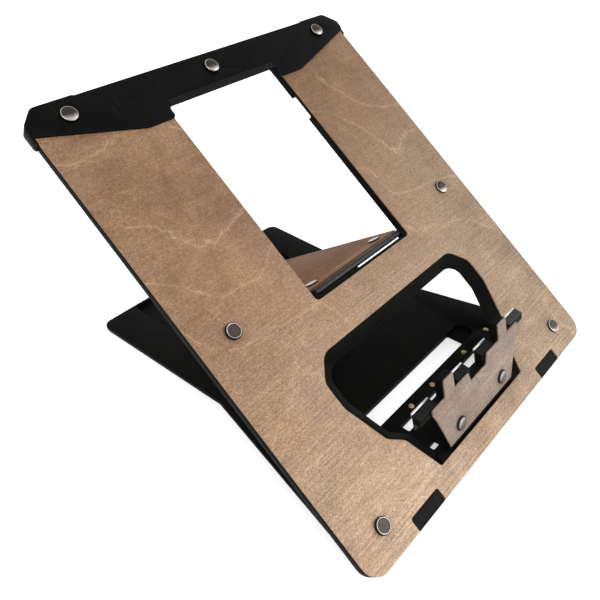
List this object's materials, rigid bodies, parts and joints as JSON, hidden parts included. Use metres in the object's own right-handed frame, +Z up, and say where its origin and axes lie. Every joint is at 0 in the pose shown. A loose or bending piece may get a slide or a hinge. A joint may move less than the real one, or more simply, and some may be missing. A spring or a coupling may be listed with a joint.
{
  "type": "folding laptop stand",
  "caption": "Portable folding laptop stand: timber-faced panel hinged to a black base plate, propped by a swing-out strut, with a clawed stop flap that rises from a wide hand hole",
  "frame": {"origin": "on the table, under the middle of the stand's footprint", "axes": "+Z is up, +X is to the right of the person facing the timber face, +Y runs back from the front hinge line towards the rear edge of the base"},
  "size_m": [0.2636, 0.2958, 0.2015],
  "materials": {
    "timber": "oiled, open-grained veneer",
    "strut_veneer": "oiled, open-grained veneer",
    "black_board": "matte, lightly pebbled",
    "black_cap": "satin",
    "steel": "nickel plated, satin",
    "bright_edge": "polished",
    "rubber": "matte",
    "grip_rubber": "ribbed, matte"
  },
  "bodies": {
    "base": {"base_sheet": "black_board", "base_deck": "black_board", "base_leaf_left": "black_cap", "base_leaf_right": "black_cap", "hinge_pins": "steel", "leaf_rivets": "steel", "bar_rivets": "steel", "rubber_feet": "rubber"},
    "front_panel": {"timber_face": "timber", "panel_backing": "black_board", "top_cap": "black_cap", "panel_strap_left": "black_cap", "panel_strap_right": "black_cap", "panel_rivets": "steel", "cap_rivets": "steel", "strut_pin": "steel", "flap_pin": "steel"},
    "strut": {"strut_timber": "strut_veneer", "strut_backing": "black_board", "strut_sleeve": "black_cap", "strut_rivets": "steel", "strut_foot": "black_board"},
    "stop_flap": {"flap_timber": "timber", "flap_backing": "black_board", "flap_rivets": "steel", "hook_outer_left": "black_board", "hook_outer_right": "black_board", "hook_inner_left": "black_board", "hook_inner_right": "black_board", "hook_pad_outer_left": "grip_rubber", "hook_pad_outer_right": "grip_rubber", "hook_pad_inner_left": "grip_rubber", "hook_pad_inner_right": "grip_rubber", "hook_edge_outer_left": "bright_edge", "hook_edge_outer_right": "bright_edge", "hook_edge_inner_left": "bright_edge", "hook_edge_inner_right": "bright_edge"}
  },
  "joints": [
    {"name": "panel_tilt", "type": "hinge", "parent": "base", "child": "front_panel", "pos_m": [0, -0.14115, 0.006], "axis": [1, 0, 0], "range_deg": [-37.4, 8.4]},
    {"name": "strut_swing", "type": "hinge", "parent": "front_panel", "child": "strut", "pos_m": [0, -0.0347, 0.09264], "axis": [1, 0, 0], "range_deg": [-15.9, 70.6]},
    {"name": "flap_raise", "type": "hinge", "parent": "front_panel", "child": "stop_flap", "pos_m": [0, -0.13245, 0.01699], "axis": [1, 0, 0], "range_deg": [-38, 30]}
  ],
  "couplings": [
    {"joint": "strut_swing", "follows": "panel_tilt", "ratio": -1.8848}
  ]
}
